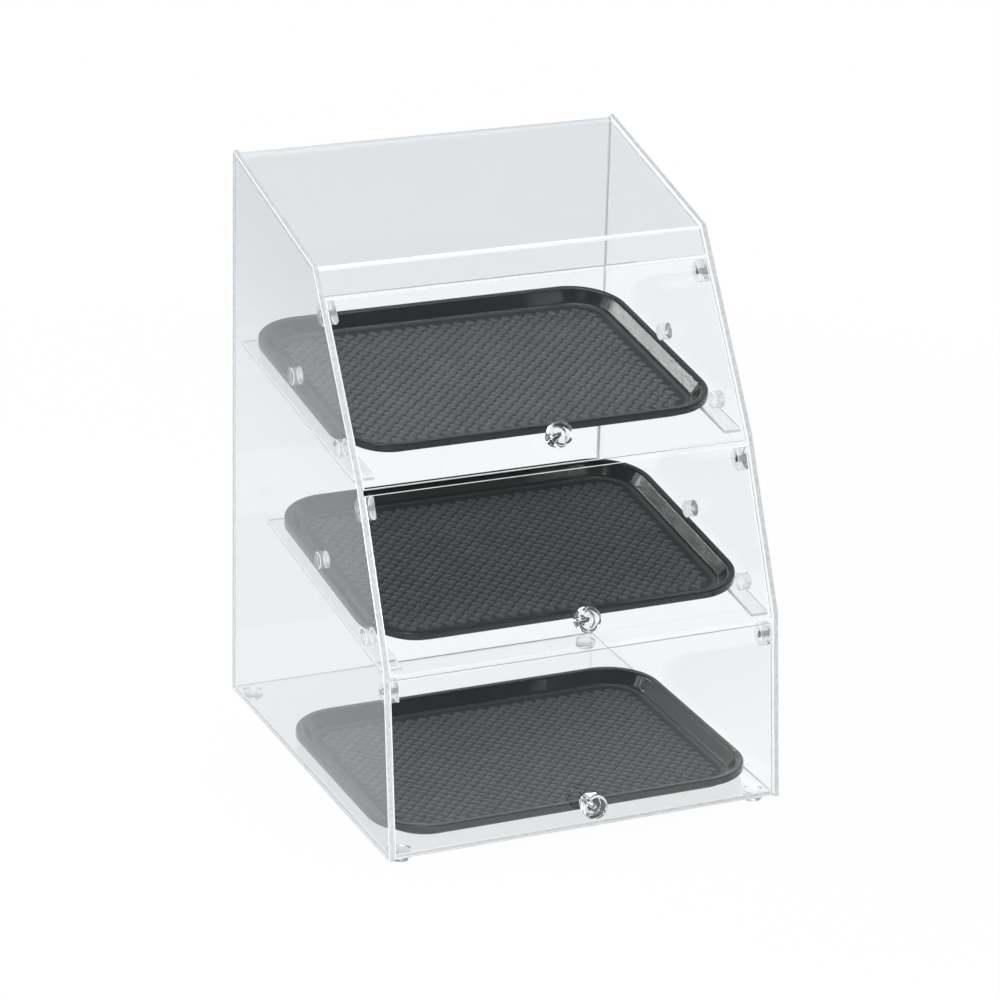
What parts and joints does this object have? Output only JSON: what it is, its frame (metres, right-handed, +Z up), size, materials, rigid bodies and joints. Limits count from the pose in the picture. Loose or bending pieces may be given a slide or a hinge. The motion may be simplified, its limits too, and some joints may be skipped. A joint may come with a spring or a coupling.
{
  "type": "countertop display case",
  "caption": "Clear acrylic countertop bakery case with a stepped front, top-hinged lift-up doors with knobs, and dark removable trays on tilted side runners.",
  "frame": {"origin": "middle of the bounding box, at the underside of the feet", "axes": "+Z up, +X to the right of someone facing the doors, the doors face -Y"},
  "size_m": [0.432, 0.4696, 0.6122],
  "materials": {
    "clear_acrylic": "clear polished acrylic sheet",
    "dark_tray_plastic": "fine satin, woven relief on the floor",
    "pin_steel": "plain steel",
    "clear_bumper": "clear soft bumper"
  },
  "bodies": {
    "case": {"back_left_foot": "clear_bumper", "back_panel": "clear_acrylic", "back_right_foot": "clear_bumper", "base_panel": "clear_acrylic", "front_left_foot": "clear_bumper", "front_right_foot": "clear_bumper", "left_side_panel": "clear_acrylic", "lower_left_hinge_pin": "pin_steel", "lower_right_hinge_pin": "pin_steel", "middle_left_hinge_pin": "pin_steel", "middle_left_runner": "clear_acrylic", "middle_left_tray_keeper": "clear_acrylic", "middle_left_tray_stop": "clear_acrylic", "middle_right_hinge_pin": "pin_steel", "middle_right_runner": "clear_acrylic", "middle_right_tray_keeper": "clear_acrylic", "middle_right_tray_stop": "clear_acrylic", "right_side_panel": "clear_acrylic", "top_panel": "clear_acrylic", "upper_left_hinge_pin": "pin_steel", "upper_left_runner": "clear_acrylic", "upper_left_tray_keeper": "clear_acrylic", "upper_left_tray_stop": "clear_acrylic", "upper_right_hinge_pin": "pin_steel", "upper_right_runner": "clear_acrylic", "upper_right_tray_keeper": "clear_acrylic", "upper_right_tray_stop": "clear_acrylic"},
    "upper_door": {"upper_door": "clear_acrylic", "upper_knob": "clear_acrylic", "upper_knob_screw": "pin_steel", "upper_left_hinge_barrel": "clear_acrylic", "upper_right_hinge_barrel": "clear_acrylic"},
    "middle_door": {"middle_door": "clear_acrylic", "middle_knob": "clear_acrylic", "middle_knob_screw": "pin_steel", "middle_left_hinge_barrel": "clear_acrylic", "middle_right_hinge_barrel": "clear_acrylic"},
    "lower_door": {"lower_door": "clear_acrylic", "lower_knob": "clear_acrylic", "lower_knob_screw": "pin_steel", "lower_left_hinge_barrel": "clear_acrylic", "lower_right_hinge_barrel": "clear_acrylic"},
    "upper_tray": {"upper_tray": "dark_tray_plastic"},
    "middle_tray": {"middle_tray": "dark_tray_plastic"},
    "lower_tray": {"lower_tray": "dark_tray_plastic"}
  },
  "joints": [
    {"name": "upper_door_hinge", "type": "hinge", "parent": "case", "child": "upper_door", "pos_m": [0, -0.00944, 0.51187], "axis": [-1, 0, 0], "range_deg": [0, 105]},
    {"name": "middle_door_hinge", "type": "hinge", "parent": "case", "child": "middle_door", "pos_m": [0, -0.11576, 0.34479], "axis": [-1, 0, 0], "range_deg": [0, 105]},
    {"name": "lower_door_hinge", "type": "hinge", "parent": "case", "child": "lower_door", "pos_m": [0, -0.18402, 0.17914], "axis": [-1, 0, 0], "range_deg": [0, 105]},
    {"name": "upper_tray_slide", "type": "slide", "parent": "case", "child": "upper_tray", "axis": [0, 0.9921, 0.1253], "range_m": [0, 0.005]},
    {"name": "middle_tray_slide", "type": "slide", "parent": "case", "child": "middle_tray", "axis": [0, 0.9921, 0.1253], "range_m": [0, 0.08]},
    {"name": "lower_tray_slide", "type": "slide", "parent": "case", "child": "lower_tray", "axis": [0, 1, 0], "range_m": [-0.008, 0.118]}
  ]
}
